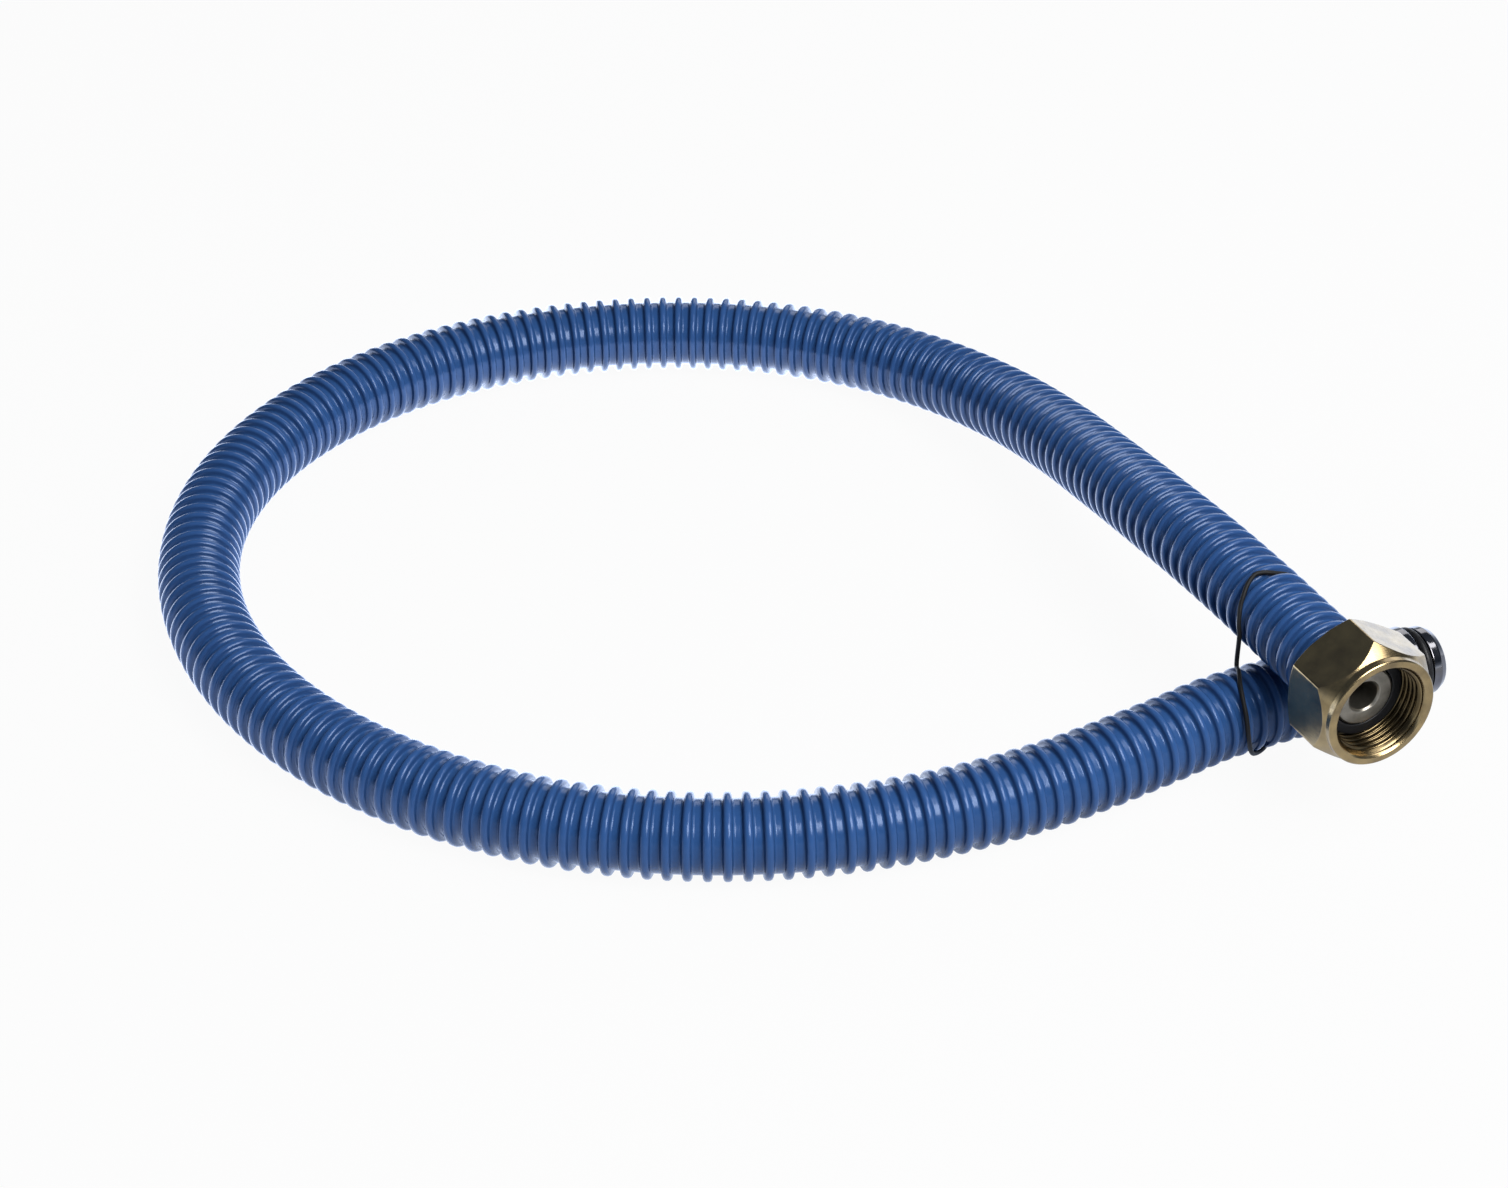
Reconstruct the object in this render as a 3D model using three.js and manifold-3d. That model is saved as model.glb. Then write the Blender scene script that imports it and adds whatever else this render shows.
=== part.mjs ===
// A shower hose of about one metre, lying in one teardrop loop.
// Millimetres, +Z up. The floor is Z = 0, and the origin is under the middle of the loop.
// A plastic sleeve, drawn plain over the crests of its ribs, covers a rubber liner. The inlet
// end carries a turned tail with a loose hexagon union nut that opens along -Y. The outlet end
// is a turned spigot with an O-ring that points along +X. The inlet end lies over the outlet
// end, and a thin elastic band round both keeps the loop closed.

import * as THREE from 'three';
import { mergeVertices } from 'three/addons/utils/BufferGeometryUtils.js';
import Module from 'manifold-3d';

// Clearances
const fit = 0.3;                    // between pieces that seat on each other
const runningFit = 0.4;             // round the tail, where the nut turns
const hoseEndGap = 0.5;             // between the cut end of the sleeve and the metal before it
const floorGap = 0.1;               // under the band

// Hose: sleeve and liner
const hoseDiameter = 24;            // over the crests of the ribs, across the flats of the tube
const linerDiameter = 15;           // over the corners
const linerBore = 11.2;             // across the flats
const hoseSides = 12;
const hoseStep = 28;                // length of one straight stretch of tube

// Union nut, G 3/4 female
const nutAcrossFlats = 33;
const nutTurn = 2;                  // degrees that a corner stands past the top, towards -X
const threadMinorDiameter = 24.3;
const mouthChamfer = 1.65;           // outwards, from the thread to the mouth
const mouthChamferLength = 2.6;
const nutRimStep = 0.5;             // from the flats in to the turned rim
const nutRimLength = 2.2;
const nutRimBevel = 0.4;
const nutFrontChamferLength = 4.2;
const nutBackStep = 0.3;            // from the flats out to the edge of the back face
const nutBackChamferLength = 1.4;
const nutWall = 5.3;                // thickness of the back wall that pulls on the collar

// Inlet tail
const noseSetback = 8.5;            // from the nut's mouth to the nose
const noseLength = 2.6;
const noseBevel = 0.4;
const collarThickness = 2.8;
const collarBevel = 0.3;
const waterBore = 8.4;
const boreBevel = 0.6;

// Seal on the tail's collar, round the nose
const sealThickness = 2;
const sealWidth = 2.85;

// Spigots inside the hose, the same at both ends
const shankReach = 4;               // how far the shank enters the sleeve
const barbDepth = 0.4;
const barbPitch = 5.2;
const barbCount = 4;
const barbRise = 0.35;              // share of the pitch before the barb
const barbCrest = 0.5;              // share of the pitch up to the barb's crest

// Ferrules round the liner
const ferruleLength = 20;
const ferruleWall = 0.5;
const crimpDepth = 0.2;
const crimpWidth = 2.4;
const crimpCount = 3;

// Outlet spigot
const spigotDiameter = 19.4;
const spigotTipDiameter = 17.2;
const spigotLeadIn = 2;
const spigotTipLand = 2.4;          // land between the lead-in and the O-ring groove
const spigotBackLand = 0.9;         // land between the groove and the collar
const spigotCollarHeight = 1.3;
const spigotCollarLength = 8.6;
const spigotCollarBevel = 0.5;
const spigotMouthDiameter = 12;
const spigotMouthDepth = 1.8;
const oRingSection = 2.4;
const oRingProud = 0.5;             // how far the O-ring stands out of its groove

// Elastic band
const bandDiameter = 1.6;
const bandSlack = 0.8;              // between the band and the hose that it goes round

// Facets
const turnedSegments = 36;
const ringSegments = 28;
const oRingSides = 8;
const bandSides = 8;
const bandSteps = 60;

// Worked-out sizes
const hoseRadius = hoseDiameter / 2;
const flatsToCorners = 1 / Math.cos(Math.PI / hoseSides);
const ferruleDiameter = linerDiameter + 2 * fit + 2 * ferruleWall;
const sleeveBore = ferruleDiameter + 2 * fit;         // across the flats
const shankDiameter = sleeveBore - 2 * fit;
const barbDiameter = linerBore - 2 * fit;
const barbRootDiameter = barbDiameter - 2 * barbDepth;
const mouthDiameter = threadMinorDiameter + 2 * mouthChamfer;
const nutRimDiameter = nutAcrossFlats - 2 * nutRimStep;
const nutBackFaceDiameter = nutAcrossFlats + 2 * nutBackStep;
const collarDiameter = threadMinorDiameter - 2 * runningFit;
const noseDiameter = collarDiameter - 2 * (sealWidth + fit);
const spigotCollarDiameter = spigotDiameter + 2 * spigotCollarHeight;
const oRingDiameter = spigotDiameter + 2 * oRingProud;
const bandReach = hoseRadius * flatsToCorners + bandSlack + bandDiameter / 2;
const bandLift = bandReach + bandDiameter / 2 + floorGap - hoseRadius;   // the outlet end lies on it
const crossingLift = bandLift + hoseDiameter + fit;   // the inlet end lies over the outlet end
const collarFront = noseSetback + noseLength;
const collarBack = collarFront + collarThickness;
const nutShoulder = collarBack + fit;
const nutLength = nutShoulder + nutWall;
const inletHoseEnd = nutLength + hoseEndGap;          // from the nut's mouth to the sleeve
const grooveFront = spigotLeadIn + spigotTipLand;
const grooveWidth = oRingSection + 2 * fit;
const grooveBack = grooveFront + grooveWidth;
const spigotCollarFront = grooveBack + spigotBackLand;
const spigotCollarBack = spigotCollarFront + spigotCollarLength;
const outletHoseEnd = spigotCollarBack + hoseEndGap;  // from the spigot's tip to the sleeve

// Where the two straight ends lie
const inletAxisX = 110.1;
const inletEndY = -148.9;
const outletAxisY = -123;
const outletEndX = 141.1;

// The hose's route, from the outlet end round the loop to the inlet end. The third value is
// how far the hose is lifted off the floor.
const routePoints = [
  [outletEndX, outletAxisY, bandLift],
  [127, outletAxisY, bandLift],
  [109, outletAxisY, bandLift],
  [90, -123.5, bandLift],
  [68.5, -126.1, 0.7 * bandLift],
  [35.6, -128.6, 0.2 * bandLift],
  [2.5, -127.5, 0.02 * bandLift],
  [-29.9, -121.6, 0],
  [-60.5, -109.8, 0],
  [-88.2, -92, 0],
  [-111.6, -68.9, 0],
  [-129.9, -41.3, 0],
  [-141.9, -10.5, 0],
  [-146.8, 22, 0],
  [-144.2, 54.7, 0],
  [-133.6, 85.9, 0],
  [-115.4, 113.2, 0],
  [-90.6, 134.9, 0],
  [-61.2, 149.5, 0],
  [-28.9, 156.4, 0],
  [4.1, 155.3, 0],
  [35.9, 147, 0],
  [65.1, 131.7, 0],
  [89.5, 109.9, 0.01 * crossingLift],
  [106.6, 81.7, 0.07 * crossingLift],
  [114.8, 49.9, 0.21 * crossingLift],
  [116.2, 16.8, 0.41 * crossingLift],
  [114.2, -16.1, 0.62 * crossingLift],
  [111.7, -48.9, 0.82 * crossingLift],
  [110.3, -82, 0.96 * crossingLift],
  [inletAxisX, -108, crossingLift],
  [inletAxisX, -130, crossingLift],
  [inletAxisX, inletEndY, crossingLift],
];

// The band's route round the two straight ends: which end it lies on, how far along X or Y from
// the crossing as a share of the band's reach, and the angle round that end, counted from +X or
// +Y towards the top.
const bandPoints = [
  ['inlet', 0.89, 90],
  ['inlet', 0.82, 118],
  ['inlet', 0.7, 146],
  ['inlet', 0.6, 176],
  ['inlet', 0.54, 204],
  ['outlet', -0.86, 56],
  ['outlet', -0.96, 80],
  ['outlet', -1.1, 104],
  ['outlet', -1.21, 132],
  ['outlet', -1.26, 160],
  ['outlet', -1.16, 190],
  ['outlet', -0.9, 218],
  ['outlet', -0.57, 244],
  ['outlet', -0.23, 270],
  ['outlet', 0.07, 297],
  ['outlet', 0.31, 326],
  ['outlet', 0.53, 352],
  ['inlet', 1.04, -30],
  ['inlet', 1.01, 0],
  ['inlet', 0.96, 30],
  ['inlet', 0.93, 60],
];

const materials = {
  sleeve: { color: 0x2a5596, roughness: 0.38, metalness: 0 },
  liner: { color: 0x1d1d1f, roughness: 0.7, metalness: 0 },
  nut: { color: 0x8a6a3c, roughness: 0.28, metalness: 1 },
  tail: { color: 0x96918a, roughness: 0.45, metalness: 1 },
  spigot: { color: 0xa8aaad, roughness: 0.12, metalness: 1 },
  ferrule: { color: 0xb4b6b8, roughness: 0.35, metalness: 1 },
  rubber: { color: 0x121213, roughness: 0.6, metalness: 0 },
};

const wasm = await Module();
wasm.setup();

function toSolid(geometry) {
  const bare = geometry.clone();
  bare.deleteAttribute('normal');
  bare.deleteAttribute('uv');
  const merged = mergeVertices(bare, 1e-4);
  return new wasm.Manifold(new wasm.Mesh({
    numProp: 3,
    vertProperties: new Float32Array(merged.attributes.position.array),
    triVerts: new Uint32Array(merged.index.array),
  }));
}

function toGeometry(solid) {
  const mesh = solid.getMesh();
  const geometry = new THREE.BufferGeometry();
  geometry.setAttribute('position', new THREE.BufferAttribute(mesh.vertProperties, 3));
  geometry.setIndex(new THREE.BufferAttribute(mesh.triVerts, 1));
  geometry.computeVertexNormals();
  return geometry;
}

// A turned piece: the profile is radius and distance along +Y, anticlockwise.
function turned(profile, segments = turnedSegments) {
  const points = profile.map(([radius, along]) => new THREE.Vector2(radius, along));
  return new THREE.LatheGeometry(points, segments);
}

function closedProfile(points) {
  return [...points, points[0]];
}

function polygonPoints(cornerRadius, sides) {
  return Array.from({ length: sides }, (_, k) => {
    const angle = (k + 0.5) * 2 * Math.PI / sides;
    return new THREE.Vector2(cornerRadius * Math.cos(angle), cornerRadius * Math.sin(angle));
  });
}

// A stretch of a longer curve, between two distances along it.
class Stretch extends THREE.Curve {
  constructor(whole, from, to) {
    super();
    this.whole = whole;
    this.from = from / whole.getLength();
    this.to = to / whole.getLength();
  }

  getPoint(t, target = new THREE.Vector3()) {
    return this.whole.getPointAt(this.from + t * (this.to - this.from), target);
  }
}

// A tube along a path: a polygon with a polygonal bore.
function tubeAlong(path, length, outerCorner, boreCorner) {
  const section = new THREE.Shape(polygonPoints(outerCorner, hoseSides));
  section.holes.push(new THREE.Path(polygonPoints(boreCorner, hoseSides)));
  const steps = Math.round(length / hoseStep);
  return new THREE.ExtrudeGeometry(section, { steps, bevelEnabled: false, extrudePath: path });
}

const route = new THREE.CatmullRomCurve3(
  routePoints.map(([x, y, lift]) => new THREE.Vector3(x, y, hoseRadius + lift)),
  false,
  'centripetal',
);
route.arcLengthDivisions = 1600;

function sleeveGeometry() {
  const corner = hoseRadius * flatsToCorners;
  return tubeAlong(route, route.getLength(), corner, sleeveBore / 2 * flatsToCorners);
}

function linerGeometry() {
  const from = shankReach + fit;
  const to = route.getLength() - shankReach - fit;
  const boreCorner = linerBore / 2 * flatsToCorners;
  return tubeAlong(new Stretch(route, from, to), to - from, linerDiameter / 2, boreCorner);
}

// The barbed stem that fills the last stretch of the liner, from where the shank ends.
function stemProfile(start) {
  const points = [];
  for (let k = 0; k < barbCount; k++) {
    const back = start + k * barbPitch;
    points.push([barbRootDiameter / 2, back + barbRise * barbPitch]);
    points.push([barbDiameter / 2, back + barbCrest * barbPitch]);
    points.push([barbRootDiameter / 2, back + barbPitch]);
  }
  return points;
}

function tailGeometry() {
  const nose = noseDiameter / 2;
  const collar = collarDiameter / 2;
  const shank = shankDiameter / 2;
  const bore = waterBore / 2;
  const shankEnd = inletHoseEnd + shankReach;
  const stem = stemProfile(shankEnd);
  return turned(closedProfile([
    [bore + boreBevel, noseSetback],
    [nose - noseBevel, noseSetback],
    [nose, noseSetback + noseBevel],
    [nose, collarFront],
    [collar - collarBevel, collarFront],
    [collar, collarFront + collarBevel],
    [collar, collarBack - collarBevel],
    [collar - collarBevel, collarBack],
    [shank, collarBack],
    [shank, shankEnd],
    [barbRootDiameter / 2, shankEnd],
    ...stem,
    [bore, shankEnd + barbCount * barbPitch],
    [bore, noseSetback + boreBevel],
  ]));
}

function sealGeometry() {
  const back = collarFront - fit;
  const front = back - sealThickness;
  const inner = noseDiameter / 2 + fit;
  const outer = collarDiameter / 2;
  return turned(closedProfile([
    [inner, front],
    [outer, front],
    [outer, back],
    [inner, back],
  ]));
}

// The nut is a hexagon turned to a rim and chamfers, then bored from its mouth.
function nutGeometry() {
  const corner = nutAcrossFlats / 2 / Math.cos(Math.PI / 6);
  const beyond = 1;
  const past = corner + beyond;
  const slope = (past - nutRimDiameter / 2) / (corner - nutRimDiameter / 2);
  const backSlope = (past - nutBackFaceDiameter / 2) / (corner - nutBackFaceDiameter / 2);
  const rim = nutRimDiameter / 2;
  const prism = new THREE.CylinderGeometry(corner, corner, nutLength, 6);
  prism.rotateY(-THREE.MathUtils.degToRad(nutTurn));
  prism.translate(0, nutLength / 2, 0);
  const outline = turned([
    [0, 0],
    [rim - nutRimBevel, 0],
    [rim, nutRimBevel],
    [rim, nutRimLength],
    [past, nutRimLength + slope * nutFrontChamferLength],
    [past, nutLength - backSlope * nutBackChamferLength],
    [nutBackFaceDiameter / 2, nutLength],
    [0, nutLength],
  ]);
  const thread = threadMinorDiameter / 2;
  const mouth = mouthDiameter / 2;
  const hole = shankDiameter / 2 + runningFit;
  const bore = turned([
    [0, -beyond],
    [mouth, -beyond],
    [mouth, 0],
    [thread, mouthChamferLength],
    [thread, nutShoulder],
    [hole, nutShoulder],
    [hole, nutLength + beyond],
    [0, nutLength + beyond],
  ]);
  return toGeometry(toSolid(prism).intersect(toSolid(outline)).subtract(toSolid(bore)));
}

function ferruleGeometry() {
  const outer = ferruleDiameter / 2;
  const inner = outer - ferruleWall;
  const side = [];
  for (let k = 0; k < crimpCount; k++) {
    const middle = ferruleLength * (k + 1) / (crimpCount + 1);
    side.push([outer, middle - crimpWidth / 2]);
    side.push([outer - crimpDepth, middle - crimpWidth / 4]);
    side.push([outer - crimpDepth, middle + crimpWidth / 4]);
    side.push([outer, middle + crimpWidth / 2]);
  }
  return turned(closedProfile([
    [inner, 0],
    [outer, 0],
    ...side,
    [outer, ferruleLength],
    [inner, ferruleLength],
  ]), ringSegments);
}

function spigotGeometry() {
  const body = spigotDiameter / 2;
  const collar = spigotCollarDiameter / 2;
  const groove = oRingDiameter / 2 - oRingSection - fit;
  const shank = shankDiameter / 2;
  const bore = waterBore / 2;
  const shankEnd = outletHoseEnd + shankReach;
  return turned(closedProfile([
    [spigotMouthDiameter / 2, 0],
    [spigotTipDiameter / 2, 0],
    [body, spigotLeadIn],
    [body, grooveFront],
    [groove, grooveFront],
    [groove, grooveBack],
    [body, grooveBack],
    [body, spigotCollarFront],
    [collar - spigotCollarBevel, spigotCollarFront],
    [collar, spigotCollarFront + spigotCollarBevel],
    [collar, spigotCollarBack - spigotCollarBevel],
    [collar - spigotCollarBevel, spigotCollarBack],
    [shank, spigotCollarBack],
    [shank, shankEnd],
    [barbRootDiameter / 2, shankEnd],
    ...stemProfile(shankEnd),
    [bore, shankEnd + barbCount * barbPitch],
    [bore, spigotMouthDepth],
  ]));
}

function oRingGeometry() {
  const radius = oRingSection / 2;
  const centre = oRingDiameter / 2 - radius;
  const middle = (grooveFront + grooveBack) / 2;
  const profile = Array.from({ length: oRingSides + 1 }, (_, k) => {
    const angle = (k % oRingSides) * 2 * Math.PI / oRingSides;
    return [centre + radius * Math.cos(angle), middle + radius * Math.sin(angle)];
  });
  return turned(profile, ringSegments);
}

function bandGeometry() {
  const places = bandPoints.map(([end, share, degrees]) => {
    const angle = THREE.MathUtils.degToRad(degrees);
    const along = share * bandReach;
    const across = bandReach * Math.cos(angle);
    const height = hoseRadius + bandReach * Math.sin(angle);
    return end === 'inlet'
      ? new THREE.Vector3(inletAxisX + across, outletAxisY + along, height + crossingLift)
      : new THREE.Vector3(inletAxisX + along, outletAxisY + across, height + bandLift);
  });
  const loop = new THREE.CatmullRomCurve3(places, true, 'centripetal');
  return new THREE.TubeGeometry(loop, bandSteps, bandDiameter / 2, bandSides, true);
}

function piece(name, geometry, look) {
  const mesh = new THREE.Mesh(geometry, new THREE.MeshStandardMaterial(look));
  mesh.name = name;
  return mesh;
}

function ferruleAt(name, hoseEnd) {
  const ferrule = piece(name, ferruleGeometry(), materials.ferrule);
  ferrule.position.y = hoseEnd + shankReach + fit;
  return ferrule;
}

// The inlet fitting: local +Y runs from the nut's mouth into the hose.
const inlet = new THREE.Group();
inlet.position.set(inletAxisX, inletEndY - inletHoseEnd, hoseRadius + crossingLift);
inlet.add(
  piece('union_nut', nutGeometry(), materials.nut),
  piece('inlet_tail', tailGeometry(), materials.tail),
  piece('seal_washer', sealGeometry(), materials.rubber),
  ferruleAt('inlet_ferrule', inletHoseEnd),
);

// The outlet fitting: local +Y runs from the spigot's tip into the hose, along -X.
const outlet = new THREE.Group();
outlet.position.set(outletEndX + outletHoseEnd, outletAxisY, hoseRadius + bandLift);
outlet.rotation.z = Math.PI / 2;
outlet.add(
  piece('outlet_spigot', spigotGeometry(), materials.spigot),
  piece('outlet_o_ring', oRingGeometry(), materials.rubber),
  ferruleAt('outlet_ferrule', outletHoseEnd),
);

const showerHose = new THREE.Group();
showerHose.add(
  piece('ribbed_sleeve', sleeveGeometry(), materials.sleeve),
  piece('inner_liner', linerGeometry(), materials.liner),
  inlet,
  outlet,
  piece('loop_band', bandGeometry(), materials.rubber),
);

export default showerHose;
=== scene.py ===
# %% [markdown]
# # A ribbed shower hose in a loop
#
# The hose lies on a table in one teardrop loop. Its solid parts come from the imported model, which
# is the fixed frame for everything here: the pieces below only give those parts their finish.
# Blender works in metres, so a size in millimetres is written times `mm`.

# %% Load the fixed frame
import math

import bpy
import numpy as np
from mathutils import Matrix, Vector


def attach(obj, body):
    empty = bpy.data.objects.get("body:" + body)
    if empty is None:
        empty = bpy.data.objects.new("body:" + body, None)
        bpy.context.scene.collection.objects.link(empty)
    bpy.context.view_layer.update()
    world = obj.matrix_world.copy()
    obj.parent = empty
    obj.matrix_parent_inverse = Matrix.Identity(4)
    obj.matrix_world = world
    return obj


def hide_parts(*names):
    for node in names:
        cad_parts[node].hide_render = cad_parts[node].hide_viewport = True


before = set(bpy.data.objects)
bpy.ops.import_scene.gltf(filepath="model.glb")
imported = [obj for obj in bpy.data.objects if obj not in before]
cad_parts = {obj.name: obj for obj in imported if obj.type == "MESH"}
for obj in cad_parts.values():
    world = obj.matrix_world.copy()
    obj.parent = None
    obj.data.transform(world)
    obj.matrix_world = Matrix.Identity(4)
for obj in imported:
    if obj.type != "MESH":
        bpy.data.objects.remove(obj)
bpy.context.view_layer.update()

mm = 0.001

# %% [markdown]
# ## The camera
#
# The loop's outline fixes the camera. It looks down at 33 degrees from the front left, from about
# a metre away. The aim point, the two angles and the distance are all that is needed, so the
# camera is placed from them and not by hand.

# %% Place the camera
image_width = 1508
sensor_width = 36.0
focal_pixels = 3388
aim = Vector((9.7 * mm, 6.2 * mm, 0.0))
camera_distance = 1004 * mm
look_down = math.radians(33)
look_across = math.radians(24.5)    # from +Y towards +X

forward = Vector((
    math.sin(look_across) * math.cos(look_down),
    math.cos(look_across) * math.cos(look_down),
    -math.sin(look_down),
))
lens = bpy.data.cameras.new("photo_camera")
lens.sensor_width = sensor_width
lens.lens = focal_pixels / image_width * sensor_width
camera = bpy.data.objects.new("photo_camera", lens)
camera.location = aim - forward * camera_distance
camera.rotation_euler = forward.to_track_quat("-Z", "Y").to_euler()
bpy.context.scene.collection.objects.link(camera)
bpy.context.scene.camera = camera
print(f"camera lens {lens.lens:.1f} mm at {[round(x, 3) for x in camera.location]}")

# %% [markdown]
# ## Curves through chosen points
#
# A hose bends evenly, so its route is a smooth curve through a few given points. The
# centripetal Catmull-Rom curve passes through every point without loops or cusps, which a plain
# cubic through uneven points can't promise. All its pieces are worked out as one array.

# %% A smooth curve and its lengths
def smooth_curve(points, closed=False, samples=40):
    """The centripetal Catmull-Rom curve through the points. Each stretch is a cubic that leaves
    and arrives along a blend of the directions to the neighbouring points, each weighted by the
    inverse square root of its distance. An open curve gets a mirrored point beyond each end."""
    points = np.asarray(points, float)
    if closed:
        wrapped = np.vstack([points[-1:], points, points[:2]])
    else:
        first = 2 * points[0] - points[1]
        last = 2 * points[-1] - points[-2]
        wrapped = np.vstack([first, points, last])
    a, b, c, d = (wrapped[k:len(wrapped) - 3 + k] for k in range(4))
    ab, bc, cd = (
        np.sqrt(np.linalg.norm(q - p, axis=1))[:, None] for p, q in ((a, b), (b, c), (c, d))
    )
    leave = bc * ((b - a) / ab - (c - a) / (ab + bc) + (c - b) / bc)
    arrive = bc * ((c - b) / bc - (d - b) / (bc + cd) + (d - c) / cd)
    t = np.linspace(0, 1, samples, endpoint=False)[None, :, None]
    b, c, leave, arrive = (v[:, None, :] for v in (b, c, leave, arrive))
    line = (
        (2 * t**3 - 3 * t**2 + 1) * b
        + (t**3 - 2 * t**2 + t) * leave
        + (3 * t**2 - 2 * t**3) * c
        + (t**3 - t**2) * arrive
    ).reshape(-1, 3)
    return np.vstack([line, line[:1] if closed else points[-1:]])


def lengths_along(line):
    """The distance from the line's start to each of its points, as a running sum of steps."""
    steps = np.linalg.norm(np.diff(line, axis=0), axis=1)
    return np.concatenate([[0], np.cumsum(steps)])


# %% [markdown]
# ## The hose's route
#
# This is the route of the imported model's hose, point for point, in metres. The outlet end lies on
# a thin band, so it starts a little off the table. The hose then lies flat round the loop and
# rises in a long low hump to pass over its own start. The third value is the lift off the table.

# %% The route of the hose
hose_radius = 12 * mm
band_lift = 2.923 * mm
crossing_lift = 27.223 * mm
inlet_axis_x = 110.1 * mm
inlet_end_y = -148.9 * mm
outlet_axis_y = -123 * mm
outlet_end_x = 141.1 * mm

route_points = np.array([
    (outlet_end_x, outlet_axis_y, band_lift),
    (0.127, outlet_axis_y, band_lift),
    (0.109, outlet_axis_y, band_lift),
    (0.090, -0.1235, band_lift),
    (0.0685, -0.1261, 0.7 * band_lift),
    (0.0356, -0.1286, 0.2 * band_lift),
    (0.0025, -0.1275, 0.02 * band_lift),
    (-0.0299, -0.1216, 0),
    (-0.0605, -0.1098, 0),
    (-0.0882, -0.092, 0),
    (-0.1116, -0.0689, 0),
    (-0.1299, -0.0413, 0),
    (-0.1419, -0.0105, 0),
    (-0.1468, 0.022, 0),
    (-0.1442, 0.0547, 0),
    (-0.1336, 0.0859, 0),
    (-0.1154, 0.1132, 0),
    (-0.0906, 0.1349, 0),
    (-0.0612, 0.1495, 0),
    (-0.0289, 0.1564, 0),
    (0.0041, 0.1553, 0),
    (0.0359, 0.147, 0),
    (0.0651, 0.1317, 0),
    (0.0895, 0.1099, 0.01 * crossing_lift),
    (0.1066, 0.0817, 0.07 * crossing_lift),
    (0.1148, 0.0499, 0.21 * crossing_lift),
    (0.1162, 0.0168, 0.41 * crossing_lift),
    (0.1142, -0.0161, 0.62 * crossing_lift),
    (0.1117, -0.0489, 0.82 * crossing_lift),
    (0.1103, -0.082, 0.96 * crossing_lift),
    (inlet_axis_x, -0.108, crossing_lift),
    (inlet_axis_x, -0.130, crossing_lift),
    (inlet_axis_x, inlet_end_y, crossing_lift),
])
route = smooth_curve(route_points + [0, 0, hose_radius])
route_length = lengths_along(route)[-1]
print(f"hose centreline {route_length:.4f} m")

# %% [markdown]
# ## Meshes from grids
#
# Every piece of this hose is a ring in form: the sleeve, the nut, the turned fittings and the
# seals all have a hole through them. So one function makes them all, from a grid of points whose
# rows go round the section and whose columns go round the hole, both joined end to end. Nothing
# is left open, and there is no pole to close.

# %% A closed skin from a grid of points
def closed_skin(name, grid, finish, body, replaces):
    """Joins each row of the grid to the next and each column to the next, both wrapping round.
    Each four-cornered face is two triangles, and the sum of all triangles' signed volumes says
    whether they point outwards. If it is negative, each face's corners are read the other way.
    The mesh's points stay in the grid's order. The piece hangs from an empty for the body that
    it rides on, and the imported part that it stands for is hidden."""
    def corners(points):
        """Each face's four corners in turn: a point, the next in its row, and the two below."""
        down = np.roll(points, -1, axis=0)
        return points, np.roll(points, -1, axis=1), np.roll(down, -1, axis=1), down

    rows, columns = grid.shape[:2]
    numbers = np.arange(rows * columns).reshape(rows, columns)
    faces = np.stack(corners(numbers), axis=-1).reshape(-1, 4)
    p, q, r, s = corners(grid - grid.mean(axis=(0, 1)))
    if np.sum(p * (np.cross(q, r) + np.cross(r, s))) < 0:
        faces = faces[:, ::-1]
    mesh = bpy.data.meshes.new(name)
    mesh.from_pydata(grid.reshape(-1, 3), [], faces.tolist())
    mesh.shade_smooth()
    mesh.materials.append(finish)
    piece = bpy.data.objects.new(name, mesh)
    bpy.context.scene.collection.objects.link(piece)
    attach(piece, body)
    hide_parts(replaces)
    print(f"{name}: {2 * len(faces)} triangles")
    return piece


# %% [markdown]
# ## A tube along a line
#
# The sleeve and the liner are tubes along the same route, so each is a row of rings round it. A
# ring needs two directions across the route. They come from the level, and not from the ring
# before, so no ring turns against its neighbours.

# %% Rings along a line
def unit(vectors):
    """Each vector divided by its length, which is the root of the sum of its squares."""
    return vectors / np.linalg.norm(vectors, axis=-1, keepdims=True)


def at_lengths(line, where, values=None):
    """The line's points at the given distances along it, or the values that belong to its
    points. Each is blended between the nearest two, in proportion to its distance from them."""
    values = line if values is None else values
    along = lengths_along(line)
    return np.stack([np.interp(where, along, values[:, k]) for k in range(3)], axis=1)


def tube_grid(line, where, radius, columns):
    """Rings carried along a line, one at each given distance. A ring lies across the line, with
    one axis level and the other as near upright as the line allows, so the rings never twist. A
    ring's points are its centre plus its radius times the sum of cosine along the level axis and
    sine along the upright one."""
    centre = at_lengths(line, where)
    ahead = unit(at_lengths(line, where, np.gradient(line, axis=0)))
    level = unit(np.cross(ahead, [0, 0, 1]))
    upright = np.cross(level, ahead)
    angle = np.linspace(0, 2 * np.pi, columns, endpoint=False)[None, :, None]
    spread = np.cos(angle) * level[:, None] + np.sin(angle) * upright[:, None]
    return centre[:, None] + radius[:, None, None] * spread


# %% [markdown]
# ## Colours and finishes
#
# Colours are written as the sRGB hex values that a paint program would show, and one function
# turns them to the linear values that the shader works in. One more fills a node's sockets and
# another adds a node. Every finish is worked out from the piece's own coordinates, so it stays
# on the piece from any side.

# %% Colour and node helpers
def linear(code):
    """sRGB to linear: a value up to 0.04045 is divided by 12.92, and a higher one is shifted by
    0.055, divided by 1.055 and raised to the power 2.4."""
    value = np.array([int(code[k:k + 2], 16) for k in (1, 3, 5)]) / 255
    low = value / 12.92
    high = ((value + 0.055) / 1.055) ** 2.4
    return (*np.where(value <= 0.04045, low, high).tolist(), 1.0)


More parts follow.
